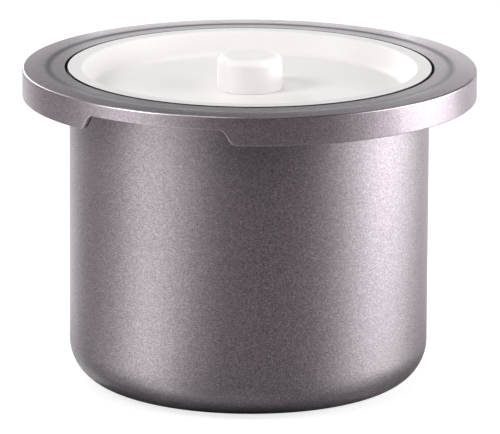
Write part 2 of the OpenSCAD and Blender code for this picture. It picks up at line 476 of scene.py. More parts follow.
def collar_corners():
    """Section of the collar: neck, flat plate, skirt, and the moulded relief of its top."""
    relief = [(r, TOP_Z - drop) for r, drop in reversed(TOP_RELIEF)]
    return [
        (NECK_IN_R, NECK_Z, 0.3, 2),
        (NECK_OUT_R, NECK_Z, 0.3, 2),
        (NECK_OUT_R, PLATE_Z, PLATE_CORNER_R, 3),
        (SKIRT_IN_R, PLATE_Z, PLATE_CORNER_R, 3),
        (SKIRT_IN_R, HIGH_RING_Z),
        (SKIRT_IN_R, LOW_RING_Z),
        (SKIRT_IN_R, SKIRT_Z, SKIRT_INNER_ROUND, 4),
        (DARK_INSIDE_R, SKIRT_Z),
        (COLLAR_R, SKIRT_Z, SKIRT_OUTER_ROUND, 4),
        (COLLAR_R, LOW_RING_Z),
        (COLLAR_R, HIGH_RING_Z),
        (COLLAR_R, HOLD_Z),
        (COLLAR_R, TOP_Z - TOP_EDGE_DROP, TOP_EDGE_ROUND, 6),
        *relief,
        (MOUTH_R, TOP_Z - MOUTH_DROP, MOUTH_ROUND, 4),
        (MOUTH_R, POT_H, 0.2, 2),
        (NECK_IN_R, POT_H, 0.3, 2),
    ]


def collar_stations():
    """Where the collar's section starts its turn, and its turns: (angle, steps)."""
    inner = math.asin(FINE_FROM / COLLAR_R)
    outer = math.asin(FINE_TO / SKIRT_IN_R)
    notch = (2 * inner, NOTCH_STEPS)
    slope = (outer - inner, FINE_STEPS)
    side = (math.pi - 2 * outer, SIDE_STEPS)
    half = [notch, slope, side, slope]
    return -math.pi / 2 - inner, half + half


def make_collar():
    """Collar with its notches; the second material is the near-black moulding inside it, painted
    shade in its gaps.
    """
    bm = bmesh.new()
    edges = section_edges(bm, collar_corners())
    start, turns = collar_stations()
    turn_about_z(bm, bm.verts, start)
    live = bm.verts[:] + edges
    for angle, steps in turns:
        live = spin(bm, live, angle, steps)
    close_and_face_outwards(bm)
    mark_edge_light_and_shade(bm)
    # Near-black inside: painted shade in the gaps
    paint_shade_inside(bm)
    cut_notches(bm)
    return new_object(bm, "rim_collar_body", "pot", "rim_collar")


def paint_shade_inside(bm):
    """Gives the second material, near-black painted shade, to the inside of the skirt and of the
    mouth.
    """
    for face in bm.faces:
        middle = face.calc_center_median()
        r = middle.xy.length
        under = NECK_OUT_R - 0.1 < r < DARK_INSIDE_R and middle.z < PLATE_Z + 0.1
        mouth = r < MOUTH_R + MOUTH_DARK and middle.z > POT_H - 0.1
        face.material_index = 1 if under or mouth else 0


def edge_light_at(v):
    """How much painted highlight (above zero) or painted shade (below) the top edge has at a point:
    highlight above a notch, shade past its end.
    """
    # The angle past the middle of the nearer notch, the same way round for both notches
    side = math.copysign(v.co.x, -v.co.x * v.co.y)
    past_notch = math.degrees(math.atan2(side, abs(v.co.y)))
    until_end = (HIGHLIGHT_TO - past_notch) / HIGHLIGHT_TO_RAMP
    since_start = (past_notch - HIGHLIGHT_FROM) / HIGHLIGHT_FROM_RAMP
    share = max(-1.0, min(1.0, until_end, since_start))
    if past_notch < 0.0:
        share = max(0.0, share)
    if past_notch > EDGE_SHADE_FADE:
        share *= max(0.0, (EDGE_SHADE_END - past_notch) / (EDGE_SHADE_END - EDGE_SHADE_FADE))
    return share


def mark_edge_light_and_shade(bm):
    """Marks painted highlight along edges (above zero), and painted shade past the notches and in
    the rise of the top (below).
    """
    edge_light_and_shade = bm.verts.layers.float.new("edge_light_and_shade")
    top_z = TOP_Z - TOP_EDGE_DROP - TOP_EDGE_ROUND
    top_r = COLLAR_R - TOP_EDGE_ROUND
    low_z = SKIRT_Z + SKIRT_OUTER_ROUND
    low_r = COLLAR_R - SKIRT_OUTER_ROUND
    for v in bm.verts:
        r = v.co.xy.length
        upper = math.atan2(v.co.z - top_z, r - top_r)
        lower = math.atan2(low_z - v.co.z, r - low_r)
        # Top edge: painted highlight above the notches, painted shade past them
        if r > top_r and v.co.z > top_z:
            v[edge_light_and_shade] = math.sin(2 * upper) * edge_light_at(v)
        # Lower edge: a painted highlight
        elif r > low_r - SLACK and v.co.z < low_z:
            v[edge_light_and_shade] = math.sin(2 * lower) * LOWER_EDGE_HIGHLIGHT
        # Rise of the top: painted shade
        elif v.co.z > TOP_Z - RELIEF_DEPTH:
            v[edge_light_and_shade] = -STEP_SHADE * max(0.0, 1.0 - abs(r - STEP_R) / STEP_REACH)


def cut_notches(bm):
    """Draws the skirt's lower edge up to the notches' outline, and closes the wall above up."""
    edge = SKIRT_Z + SKIRT_INNER_ROUND + SLACK
    for v in bm.verts:
        r = v.co.xy.length
        if r < SKIRT_IN_R - 0.1 or v.co.z > HOLD_Z + SLACK:
            continue
        rise = notch_edge_z(v.co.x * COLLAR_R / r) - SKIRT_Z
        if v.co.z > edge:
            rise *= (HOLD_Z - v.co.z) / (HOLD_Z - edge)
        v.co.z += rise


def make_collar_ribs():
    """Stiffening ribs moulded under the collar's plate."""
    bm = bmesh.new()
    size = (RIB_OUT_R - RIB_IN_R, RIB_T, RIB_TOP_Z - RIB_LOW_Z)
    middle = ((RIB_IN_R + RIB_OUT_R) / 2, 0, (RIB_LOW_Z + RIB_TOP_Z) / 2)
    for i in range(RIB_COUNT):
        verts = bmesh.ops.create_cube(bm, size=1)["verts"]
        bmesh.ops.scale(bm, vec=size, verts=verts)
        bmesh.ops.translate(bm, vec=middle, verts=verts)
        own = [e for e in bm.edges if e.verts[0] in verts and e.verts[1] in verts]
        lower = [e for e in own if all(v.co.z < RIB_LOW_Z + 0.1 for v in e.verts)]
        along = [e for e in lower if abs(e.verts[0].co.x - e.verts[1].co.x) > 1]
        turn_about_z(bm, verts, (i + 0.5) * FULL_TURN / RIB_COUNT)
        round_edges(bm, along, RIB_ROUND, 3)
    return new_object(bm, "collar_ribs", "pot")


def make_collar_bosses():
    """Bosses under the collar's plate, which the collar screws are driven into."""
    bm = bmesh.new()
    corners = [
        (0, BOSS_HOLE_TOP_Z),
        (BOSS_HOLE_R, BOSS_HOLE_TOP_Z),
        (BOSS_HOLE_R, BOSS_LOW_Z, 0.15, 2),
        (BOSS_R, BOSS_LOW_Z, 0.2, 2),
        (BOSS_R, BOSS_TOP_Z),
        (0, BOSS_TOP_Z),
    ]
    turn_section(bm, corners, 32)
    spread_to_screws(bm)
    return new_object(bm, "collar_bosses", "pot")


def spread_to_screws(bm):
    """Copies a shape on the axis to every collar screw and removes the first."""
    first = bm.verts[:] + bm.edges[:] + bm.faces[:]
    for lug in SCREW_ANGLES:
        verts = verts_of(bmesh.ops.duplicate(bm, geom=first)["geom"])
        bmesh.ops.translate(bm, vec=(SCREW_CIRCLE_R, 0, 0), verts=verts)
        turn_about_z(bm, verts, math.radians(lug))
    bmesh.ops.delete(bm, geom=verts_of(first), context="VERTS")


def make_gasket():
    """Silicone ring between the pot's flange and the collar's neck."""
    corners = [
        (GASKET_IN_R, GASKET_LOW_Z, GASKET_ROUND, 2),
        (GASKET_OUT_R, GASKET_LOW_Z, GASKET_ROUND, 2),
        (GASKET_OUT_R, GASKET_TOP_Z, GASKET_ROUND, 2),
        (GASKET_IN_R, GASKET_TOP_Z, GASKET_ROUND, 2),
    ]
    return turned_piece("sealing_ring", "pot", corners, ROUND_STEPS, "collar_gasket")


# ------------ lid


def lid_corners():
    """Section of the lid: a dish whose sloping wall keeps its thickness, and a flat seat rim."""
    lean = math.atan((DISH_R - DISH_FLOOR_R) / (LID_TOP_Z - DISH_Z))
    turn = math.pi / 2 - lean
    under_r = DISH_FLOOR_R + DISH_T * math.tan(turn / 2)
    under_z = DISH_Z - DISH_T
    root_r = under_r + (LID_RIM_Z - under_z) * math.tan(lean)
    return [
        (LID_HOLE_R, under_z, 0.15, 2),
        (under_r, under_z, DISH_UNDER_ROUND, 10),
        (root_r, LID_RIM_Z, LID_UNDER_ROUND, 2),
        (LID_R, LID_RIM_Z, LID_UNDER_ROUND, 2),
        (LID_R, LID_TOP_Z - GAP_SHADE_H - GAP_SHADE_FADE_H),
        (LID_R, LID_TOP_Z - GAP_SHADE_H),
        (LID_R, LID_TOP_Z, LID_EDGE_ROUND, 4),
        (DISH_R, LID_TOP_Z, DISH_LIP_ROUND, 8),
        (DISH_FLOOR_R, DISH_Z, DISH_CORNER_ROUND, 10),
        (LID_HOLE_R, DISH_Z, 0.15, 2),
    ]


def mark_gap_shade(bm):
    """Marks painted shade on the side of the rim, for the shadow in the gap, and darkens its top a
    little.
    """
    gap_shade_rim_tone = bm.verts.layers.float.new("gap_shade_rim_tone")
    for v in bm.verts:
        below_top = LID_TOP_Z - v.co.z
        on_side = v.co.xy.length > LID_R - GAP_SHADE_IN
        # Painted shade on the rim's side; the top only a little darker
        if on_side and RIM_TOP_DEPTH < below_top < GAP_SHADE_H + 0.05:
            v[gap_shade_rim_tone] = 1.0
        elif below_top <= RIM_TOP_DEPTH:
            v[gap_shade_rim_tone] = RIM_TOP_DARKENING


def make_lid():
    """White dish that drops into the collar."""
    bm = bmesh.new()
    turn_section(bm, lid_corners(), ROUND_STEPS)
    mark_gap_shade(bm)
    return new_object(bm, "lid_dish_shell", "lid", "lid_dish")


def make_knob():
    """Hollow white knob with a post in its middle."""
    top = DISH_Z + KNOB_H
    corners = [
        (0, top),
        (0, KNOB_BORE_Z),
        (KNOB_BORE_R, KNOB_BORE_Z, 0.2, 2),
        (KNOB_BORE_R, DISH_Z, 0.2, 2),
        (KNOB_POST_R, DISH_Z, 0.3, 2),
        (KNOB_POST_R, KNOB_ROOF_Z, 0.6, 3),
        (KNOB_SHELL_IN_R, KNOB_ROOF_Z, 0.8, 3),
        (KNOB_SHELL_IN_R, DISH_Z, 0.2, 2),
        (KNOB_R, DISH_Z, 0.25, 2),
        (KNOB_R, top, KNOB_TOP_R, 14),
    ]
    return turned_piece("lid_knob_cap", "lid", corners, 128, "lid_knob")


def make_washer():
    """Steel washer under the head of the knob screw."""
    corners = [
        (WASHER_HOLE_R, WASHER_Z, 0.1, 2),
        (WASHER_R, WASHER_Z, 0.15, 2),
        (WASHER_R, WASHER_TOP_Z, 0.1, 2),
        (WASHER_HOLE_R, WASHER_TOP_Z, 0.1, 2),
    ]
    return turned_piece("knob_washer_ring", "lid", corners, 64, "knob_washer")


def make_insert():
    """Threaded brass insert with a knurled outside."""
    bm = bmesh.new()
    bore = [(INSERT_BORE_R, INSERT_TOP_Z), (INSERT_BORE_R, INSERT_LOW_Z)]
    outside = [(r, z) for z, r in INSERT_BANDS]
    turn_section(bm, bore + outside, 72)
    for v in bm.verts:
        step = round(math.degrees(math.atan2(v.co.y, v.co.x)) / KNURL_STEP)
        if v.co.xy.length > KNURL_R and step % KNURL_EVERY == 0:
            v.co.x *= KNURL_CUT
            v.co.y *= KNURL_CUT
    return new_object(bm, "knob_insert_knurled", "lid", "knob_insert", 20)


# ------------ screws


def cross_recess(bm, length, width, z):
    """Outline of a cross recess, from two crossed bars' twelve corners."""
    half_length = length / 2
    half_width = width / 2
    arm = [(half_length, -half_width), (half_length, half_width), (half_width, half_width)]
    verts = []
    for k in range(4):
        turn = Matrix.Rotation(k * math.pi / 2, 3, "Z")
        verts += [bm.verts.new(turn @ Vector((x, y, z))) for x, y in arm]
    return [bm.edges.new((verts[i - 1], verts[i])) for i in range(len(verts))]


def sink_recess(bm, recess, depth):
    """Draws a recess's outline into the head, narrower towards its floor."""
    deep = verts_of(bmesh.ops.extrude_edge_only(bm, edges=recess)["geom"])
    bmesh.ops.translate(bm, vec=(0, 0, depth), verts=deep)
    bmesh.ops.scale(bm, vec=(CROSS_TAPER, CROSS_TAPER, 1), verts=deep)
    floor = [e for e in bm.edges if e.verts[0] in deep and e.verts[1] in deep]
    bmesh.ops.contextual_create(bm, geom=floor)


def pan_screw_rings(shank_r, shank_l, head_r, head_h, depth):
    """Radii and heights of a screw's rings, from the rounding of its head to its tip."""
    edge = HEAD_EDGE * head_h
    flat_r = head_r - edge
    rings = []
    for degrees in (15, 30, 45, 60, 75, 90):
        turn = math.radians(degrees)
        rings.append((flat_r + edge * math.sin(turn), -head_h + edge * (1 - math.cos(turn))))
    core_r = shank_r - depth
    rings += [(head_r, -0.1), (head_r - 0.1, 0), (shank_r + 0.1, 0), (core_r, 0.1)]
    rings += [(core_r, shank_l - 0.5), (core_r - 0.4, shank_l)]
    return rings


def grow_ring(bm, ring, r, z):
    """Extrudes a ring of edges to a new radius and height, and returns the new ring."""
    grown = bmesh.ops.extrude_edge_only(bm, edges=ring)["geom"]
    for v in verts_of(grown):
        v.co = Vector((v.co.x, v.co.y, 0)).normalized() * r + Vector((0, 0, z))
    return [e for e in edges_of(grown) if all(abs(v.co.z - z) < LEVEL for v in e.verts)]


def pan_screw(bm, shank_r, shank_l, head_r, head_h, pitch, depth):
    """Pan-head screw standing on z = 0, head below, with a cross recess and a thread."""
    recess = cross_recess(bm, CROSS_LENGTH * head_r, CROSS_WIDTH * head_r, -head_h)
    flat = bmesh.ops.create_circle(
        bm,
        segments=48,
        radius=head_r - HEAD_EDGE * head_h,
        matrix=Matrix.Translation((0, 0, -head_h)),
    )["verts"]
    ring = [e for e in bm.edges if e.verts[0] in flat and e.verts[1] in flat]
    bmesh.ops.triangle_fill(bm, use_beauty=True, edges=recess + ring, normal=-UP)
    sink_recess(bm, recess, CROSS_DEPTH * head_h)
    for r, z in pan_screw_rings(shank_r, shank_l, head_r, head_h, depth):
        ring = grow_ring(bm, ring, r, z)
    bmesh.ops.contextual_create(bm, geom=ring)
    cut_thread(bm, shank_r, shank_l, pitch, depth)
    bmesh.ops.recalc_face_normals(bm, faces=bm.faces)


def cut_thread(bm, shank_r, shank_l, pitch, depth):
    """Winds a ridge round the shank as a closed spiral."""
    turns = (shank_l - THREAD_START - THREAD_END_GAP) / pitch
    steps = int(turns * THREAD_STEPS)
    root_r = shank_r - depth - THREAD_FOOT_SINK
    crest_r = shank_r - THREAD_CREST_DROP
    ridge = [
        bm.verts.new((root_r, 0, THREAD_START - THREAD_FOOT * pitch)),
        bm.verts.new((crest_r, 0, THREAD_START - THREAD_CREST * pitch)),
        bm.verts.new((crest_r, 0, THREAD_START + THREAD_CREST * pitch)),
        bm.verts.new((root_r, 0, THREAD_START + THREAD_FOOT * pitch)),
    ]
    face = bm.faces.new(ridge)
    spin(bm, [face], turns * FULL_TURN, steps, climb=turns * pitch / steps)


def make_knob_screw():
    """Screw from below that holds the knob to the lid."""
    bm = bmesh.new()
    pan_screw(bm, shank_r=2.0, shank_l=9.0, head_r=3.9, head_h=2.6, pitch=0.7, depth=0.35)
    bmesh.ops.translate(bm, vec=(0, 0, WASHER_Z), verts=bm.verts)
    return new_object(bm, "knob_screw_threaded", "lid", "knob_screw")


def make_collar_screws():
    """The four screws that go up through the flange's lugs into the collar."""
    bm = bmesh.new()
    pan_screw(bm, shank_r=1.25, shank_l=5.0, head_r=2.4, head_h=1.5, pitch=0.8, depth=0.28)
    bmesh.ops.translate(bm, vec=(0, 0, FLANGE_Z), verts=bm.verts)
    spread_to_screws(bm)
    return new_object(bm, "collar_screw_set", "pot", "collar_screws")


# ------------ material groups

FLOAT = "NodeSocketFloat"
COLOUR = "NodeSocketColor"
VECTOR = "NodeSocketVector"

# Flakes: how much finer the second layer is, and how strongly flakes differ from the paint
FINER_FLAKES = 1.7
FLAKE_CONTRAST = 1.1

# Clouds in paint and in moulded skins: their scale and how far they move the roughness
PAINT_CLOUD_SCALE = 90.0
PAINT_CLOUD_ROUGHNESS = 0.06
SKIN_CLOUD_SCALE = 60.0
SKIN_CLOUD_ROUGHNESS = 0.18

# Stains on metal: their scale, the level they start from, how sharp and how rough they are
STAIN_SCALE = 700.0
STAIN_START = 0.45
STAIN_SHARPNESS = 1.6
STAIN_ROUGHNESS = 0.3


def group(name, inputs, outputs):
    """An empty shader node group with named sockets: name to (type, default)."""
    made = bpy.data.node_groups.new(name, "ShaderNodeTree")
    for label, (kind, value) in inputs.items():
        socket = made.interface.new_socket(label, in_out="INPUT", socket_type=kind)
        socket.default_value = value
    for label, kind in outputs.items():
        made.interface.new_socket(label, in_out="OUTPUT", socket_type=kind)
    return made


def node(tree, kind, **settings):
    """Adds a node, sets its properties, and its inputs by name or number."""
    made = tree.nodes.new(kind)
    inputs = settings.pop("inputs", {})
    for key, value in settings.items():
        setattr(made, key, value)
    for key, value in inputs.items():
        if isinstance(value, bpy.types.NodeSocket):
            tree.links.new(value, made.inputs[key])
        else:
            made.inputs[key].default_value = value
    return made


def math_node(tree, operation, a, b=0.0, clamp=False):
    """Adds a calculation on two values and returns its output."""
    made = node(tree, "ShaderNodeMath", operation=operation, inputs={0: a, 1: b})
    made.use_clamp = clamp
    return made.outputs[0]


def vector_node(tree, operation, inputs):
    """Adds a calculation on vectors."""
    return node(tree, "ShaderNodeVectorMath", operation=operation, inputs=inputs)


def noise(tree, where, scale, detail):
    """Adds soft noise at a place and returns its level, from 0 to 1."""
    inputs = {"Vector": where, "Scale": scale, "Detail": detail}
    return node(tree, "ShaderNodeTexNoise", inputs=inputs).outputs["Fac"]


def group_ends(tree):
    """Adds a group's input and output nodes, and the place on the piece."""
    given = tree.nodes.new("NodeGroupInput").outputs
    out = tree.nodes.new("NodeGroupOutput").inputs
    where = node(tree, "ShaderNodeTexCoord").outputs["Object"]
    return given, out, where


def mix_colour(tree, share, a, b):
    """Mixes two colours and returns the output."""
    made = node(tree, "ShaderNodeMix", data_type="RGBA", inputs={0: share, 6: a, 7: b})
    return made.outputs[2]


def flake_cells(tree, where, size):
    """Two layers of cells: how light each flake is, from -1 to 1, and a colour of its own."""
    per_metre = math_node(tree, "DIVIDE", 1.0, size)
    cells = node(tree, "ShaderNodeTexVoronoi", inputs={"Vector": where, "Scale": per_metre})
    cell_colour = cells.outputs["Color"]
    parts = node(tree, "ShaderNodeSeparateColor", inputs={0: cell_colour})
    fine_scale = math_node(tree, "MULTIPLY", per_metre, FINER_FLAKES)
    fine = node(tree, "ShaderNodeTexVoronoi", inputs={"Vector": where, "Scale": fine_scale})
    fine_parts = node(tree, "ShaderNodeSeparateColor", inputs={0: fine.outputs["Color"]})
    both = math_node(tree, "ADD", parts.outputs[0], fine_parts.outputs[1])
    return math_node(tree, "SUBTRACT", both, 1.0), cell_colour


def flake_normal(tree, cell_colour, amount):
    """Normal of the surface, which each flake tilts a little, its own way."""
    centred = vector_node(tree, "SUBTRACT", {0: cell_colour, 1: (0.5, 0.5, 0.5)})
    tilt = vector_node(tree, "SCALE", {0: centred.outputs[0], 3: amount})
    facing = node(tree, "ShaderNodeNewGeometry").outputs["Normal"]
    tilted = vector_node(tree, "ADD", {0: facing, 1: tilt.outputs[0]})
    return vector_node(tree, "NORMALIZE", {0: tilted.outputs[0]}).outputs[0]


def clouded(tree, cloud, roughness, amount):
    """Roughness that drifts up and down with a cloud."""
    drift = math_node(tree, "SUBTRACT", cloud, 0.5)
    drift = math_node(tree, "MULTIPLY", drift, amount)
    return math_node(tree, "ADD", roughness, drift)


def flake_group():
    """Metal flakes in tinted paint: each cell is paler or deeper, duller or more metallic."""
    inputs = {
        "Paint": (COLOUR, (0.3, 0.3, 0.3, 1)),
        "Light Flake": (COLOUR, (0.6, 0.6, 0.6, 1)),
        "Dark Flake": (COLOUR, (0.1, 0.1, 0.1, 1)),
        "Flake Size": (FLOAT, 0.0004),
        "Tilt": (FLOAT, 0.1),
        "Roughness": (FLOAT, 0.4),
        "Metallic": (FLOAT, 0.9),
        "Metallic Spread": (FLOAT, 0.3),
    }
    outputs = {"Colour": COLOUR, "Metallic": FLOAT, "Roughness": FLOAT, "Normal": VECTOR}
    tree = group("metal_flake", inputs, outputs)
    given, out, where = group_ends(tree)
    lean, cell_colour = flake_cells(tree, where, given["Flake Size"])
    light = math_node(tree, "MULTIPLY", lean, FLAKE_CONTRAST, clamp=True)
    dark = math_node(tree, "MULTIPLY", lean, -FLAKE_CONTRAST, clamp=True)
    colour = mix_colour(tree, light, given["Paint"], given["Light Flake"])
    colour = mix_colour(tree, dark, colour, given["Dark Flake"])
    tree.links.new(colour, out["Colour"])
    spread = math_node(tree, "MULTIPLY", lean, given["Metallic Spread"])
    metallic = math_node(tree, "SUBTRACT", given["Metallic"], spread, clamp=True)
    tree.links.new(metallic, out["Metallic"])
    cloud = noise(tree, where, PAINT_CLOUD_SCALE, 3.0)
    rough = clouded(tree, cloud, given["Roughness"], PAINT_CLOUD_ROUGHNESS)
    tree.links.new(rough, out["Roughness"])
    tree.links.new(flake_normal(tree, cell_colour, given["Tilt"]), out["Normal"])
    return tree


def moulded_group():
    """Moulded plastic skin: faint clouds of colour and gloss, and a fine spark-eroded grain."""
    inputs = {
        "Colour": (COLOUR, (0.8, 0.8, 0.8, 1)),
        "Shade": (COLOUR, (0.7, 0.7, 0.7, 1)),
        "Roughness": (FLOAT, 0.3),
        "Grain Size": (FLOAT, 0.0004),
    }
    outputs = {"Colour": COLOUR, "Roughness": FLOAT, "Height": FLOAT}
    tree = group("moulded_skin", inputs, outputs)
    given, out, where = group_ends(tree)
    cloud = noise(tree, where, SKIN_CLOUD_SCALE, 4.0)
    colour = mix_colour(tree, cloud, given["Colour"], given["Shade"])
    tree.links.new(colour, out["Colour"])
    per_metre = math_node(tree, "DIVIDE", 1.0, given["Grain Size"])
    grain = noise(tree, where, per_metre, 2.0)
    tree.links.new(grain, out["Height"])
    rough = clouded(tree, cloud, given["Roughness"], SKIN_CLOUD_ROUGHNESS)
    tree.links.new(rough, out["Roughness"])
    return tree


def worked_metal_group():
    """Plated or turned metal: a fine tooling grain, with stains that dull it here and there."""
    inputs = {
        "Metal": (COLOUR, (0.7, 0.7, 0.7, 1)),
        "Stain": (COLOUR, (0.4, 0.4, 0.4, 1)),
        "Roughness": (FLOAT, 0.3),
        "Grain Size": (FLOAT, 0.0003),
    }
    outputs = {"Colour": COLOUR, "Roughness": FLOAT, "Height": FLOAT}
    tree = group("worked_metal", inputs, outputs)
    given, out, where = group_ends(tree)
    per_metre = math_node(tree, "DIVIDE", 1.0, given["Grain Size"])
    grain = noise(tree, where, per_metre, 3.0)
    tree.links.new(grain, out["Height"])
    stain = noise(tree, where, STAIN_SCALE, 5.0)
    amount = math_node(tree, "SUBTRACT", stain, STAIN_START)
    amount = math_node(tree, "MULTIPLY", amount, STAIN_SHARPNESS, clamp=True)
    colour = mix_colour(tree, amount, given["Metal"], given["Stain"])
    tree.links.new(colour, out["Colour"])
    rough = math_node(tree, "MULTIPLY", amount, STAIN_ROUGHNESS)
    rough = math_node(tree, "ADD", rough, given["Roughness"])
    tree.links.new(rough, out["Roughness"])
    return tree


# ------------ materials

# Depth of the moulded grain and of the metal's, in metres
SKIN_GRAIN_DEPTH = 0.00003
METAL_GRAIN_DEPTH = 0.00002
METAL_GRAIN_STRENGTH = 0.25


def material(name):
    """A new material, its tree and its shader."""
    made = bpy.data.materials.new(name)
    made.use_nodes = True
    tree = made.node_tree
    return made, tree, tree.nodes["Principled BSDF"]


def place_group(tree, placed_group, **values):
    """Places a shader group in a material, with its inputs by name."""
    placed = tree.nodes.new("ShaderNodeGroup")
    placed.node_tree = placed_group
    for label, value in values.items():
        placed.inputs[label.replace("_", " ")].default_value = value
    return placed


def mark(tree, name):
    """Reads what was marked on a piece's vertices."""
    return node(tree, "ShaderNodeAttribute", attribute_name=name).outputs["Fac"]


def add_relief(tree, shader, height, strength, depth):
    """Gives a surface the relief of a height."""
    inputs = {"Height": height, "Strength": strength, "Distance": depth}
    bump = node(tree, "ShaderNodeBump", inputs=inputs)
    tree.links.new(bump.outputs["Normal"], shader.inputs["Normal"])


def pearl_paint(groups, name, highlight_colour=None, painted_shade_colour=None, **values):
    """Metallic paint, with a painted highlight along edges where the mark is above zero and painted
    shade where it is below.
    """
    made, tree, shader = material(name)
    flakes = place_group(tree, groups["flake"], **values)
    colour = flakes.outputs["Colour"]
    # Pale painted highlight where the edge mark is above zero, dark painted shade where it is below
    if highlight_colour:
        edge_light_and_shade = mark(tree, "edge_light_and_shade")
        lit_share = math_node(tree, "MAXIMUM", edge_light_and_shade, 0.0)
        colour = mix_colour(tree, lit_share, colour, highlight_colour)
        shaded_share = math_node(tree, "MULTIPLY", edge_light_and_shade, -1.0, clamp=True)
        colour = mix_colour(tree, shaded_share, colour, painted_shade_colour)
    tree.links.new(colour, shader.inputs["Base Color"])
    for label in ("Metallic", "Roughness", "Normal"):
        tree.links.new(flakes.outputs[label], shader.inputs[label])
    return made


def moulded(groups, name, grain_strength, gloss=0.5, gap_shade_colour=None, **values):
    """Moulded plastic or rubber, darker with painted shade where a piece marks it."""
    made, tree, shader = material(name)
    skin = place_group(tree, groups["moulded"], **values)
    colour = skin.outputs["Colour"]
    # Painted shade where the piece marks it
    if gap_shade_colour:
        colour = mix_colour(tree, mark(tree, "gap_shade_rim_tone"), colour, gap_shade_colour)
    tree.links.new(colour, shader.inputs["Base Color"])
    tree.links.new(skin.outputs["Roughness"], shader.inputs["Roughness"])
    add_relief(tree, shader, skin.outputs["Height"], grain_strength, SKIN_GRAIN_DEPTH)
    shader.inputs["Specular IOR Level"].default_value = gloss
    return made


def metal(groups, name, **values):
    """Bare or plated metal."""
    made, tree, shader = material(name)
    skin = place_group(tree, groups["worked"], **values)
    tree.links.new(skin.outputs["Colour"], shader.inputs["Base Color"])
    tree.links.new(skin.outputs["Roughness"], shader.inputs["Roughness"])
    add_relief(tree, shader, skin.outputs["Height"], METAL_GRAIN_STRENGTH, METAL_GRAIN_DEPTH)
    shader.inputs["Metallic"].default_value = 1.0
    return made


def pot_paint(groups):
    """Pearly mauve-grey paint of the pot."""
    return pearl_paint(
        groups,
        "pearl_paint_pot",
        Paint=(0.315, 0.287, 0.309, 1),
        Light_Flake=(0.62, 0.54, 0.60, 1),
        Dark_Flake=(0.16, 0.155, 0.16, 1),
        Flake_Size=0.00022,
        Tilt=0.03,
        Roughness=0.38,
        Metallic=0.92,
        Metallic_Spread=0.4,
    )


def collar_paint(groups):
    """Paler and smoother paint of the collar, with painted highlights and painted shade along its
    edges.
    """
    return pearl_paint(
        groups,
        "pearl_paint_collar",
        # Colours of the painted highlight and the painted shade along the edges
        highlight_colour=(0.5, 0.47, 0.5, 1),
        painted_shade_colour=(0.085, 0.073, 0.082, 1),
        Paint=(0.37, 0.328, 0.36, 1),
        Light_Flake=(0.67, 0.575, 0.645, 1),
        Dark_Flake=(0.20, 0.194, 0.20, 1),
        Flake_Size=0.00022,
        Tilt=0.02,
        Roughness=0.32,
        Metallic=0.88,
        Metallic_Spread=0.4,
    )


def lid_white(groups):
    """White moulding of the lid, with painted shade on the side of its rim, for the shadow in the
    gap round it.
    """
    return moulded(
        groups,
        "lid_white_moulding",
        grain_strength=0.15,
        gloss=0.3,
        # Near-black painted shade on the rim's side
        gap_shade_colour=(0.012, 0.011, 0.011, 1),
        Colour=(0.82, 0.787, 0.787, 1),
        Shade=(0.787, 0.754, 0.756, 1),
        Roughness=0.42,
        Grain_Size=0.0003,
    )


def knob_white(groups):
    """White moulding of the knob."""
    return moulded(
        groups,
        "knob_white_moulding",
        grain_strength=0.12,
        Colour=(0.85, 0.812, 0.812, 1),
        Shade=(0.81, 0.775, 0.777, 1),
        Roughness=0.4,
        Grain_Size=0.0003,
    )


def nonstick_coat(groups):
    """Dark coat inside the cup."""
    return moulded(
        groups,
        "nonstick_coat",
        grain_strength=0.6,
        Colour=(0.045, 0.043, 0.045, 1),
        Shade=(0.075, 0.072, 0.075, 1),
        Roughness=0.45,
        Grain_Size=0.0003,
    )


def shade_dark_moulding(groups):
    """Dull dark moulding where the collar is unpainted, made near-black as painted shade in the gap
    round the lid and at the notches' ends.
    """
    return moulded(
        groups,
        "collar_shade_dark_moulding",
        grain_strength=0.4,
        gloss=0.15,
        # Near-black: painted shade
        Colour=(0.012, 0.011, 0.012, 1),
        Shade=(0.02, 0.018, 0.02, 1),
        Roughness=0.6,
        Grain_Size=0.0003,
    )


def silicone(groups):
    """Dark silicone of the gasket."""
    return moulded(
        groups,
        "silicone_ring",
        grain_strength=0.4,
        Colour=(0.05, 0.05, 0.055, 1),
        Shade=(0.08, 0.08, 0.085, 1),
        Roughness=0.65,
        Grain_Size=0.0002,
    )


def zinc_plate(groups):
    """Zinc-plated steel of the screws and the washer."""
    return metal(
        groups,
        "zinc_plate",
        Metal=(0.66, 0.67, 0.69, 1),
        Stain=(0.42, 0.42, 0.43, 1),
        Roughness=0.24,
        Grain_Size=0.0002,
    )


def brass(groups):
    """Brass of the insert."""
    return metal(
        groups,
        "insert_brass",
        Metal=(0.62, 0.42, 0.16, 1),
        Stain=(0.4, 0.26, 0.1, 1),
        Roughness=0.28,
        Grain_Size=0.0002,
    )


def make_materials():
    """All finishes by name."""
    groups = {"flake": flake_group(), "moulded": moulded_group(), "worked": worked_metal_group()}
    return {
        "pot_paint": pot_paint(groups),
        "collar_paint": collar_paint(groups),
        "coat": nonstick_coat(groups),
        "lid": lid_white(groups),
        "knob": knob_white(groups),
        "shade_dark": shade_dark_moulding(groups),
        "gasket": silicone(groups),
        "steel": zinc_plate(groups),
        "brass": brass(groups),
    }


# ------------ stage, lights and camera

# The stage is in metres. The viewer stands to the right of the front notch.
VIEW_TURN = math.radians(25)
TOWARDS_VIEWER = Vector((math.sin(VIEW_TURN), -math.cos(VIEW_TURN), 0))
TO_RIGHT = Vector((math.cos(VIEW_TURN), math.sin(VIEW_TURN), 0))


def direction(turn, rise):
    """Unit vector at a turn from the viewer to the viewer's right and a rise, in degrees."""
    turn = math.radians(turn)
    rise = math.radians(rise)
    flat = math.cos(turn) * TOWARDS_VIEWER + math.sin(turn) * TO_RIGHT
    return flat * math.cos(rise) + UP * math.sin(rise)


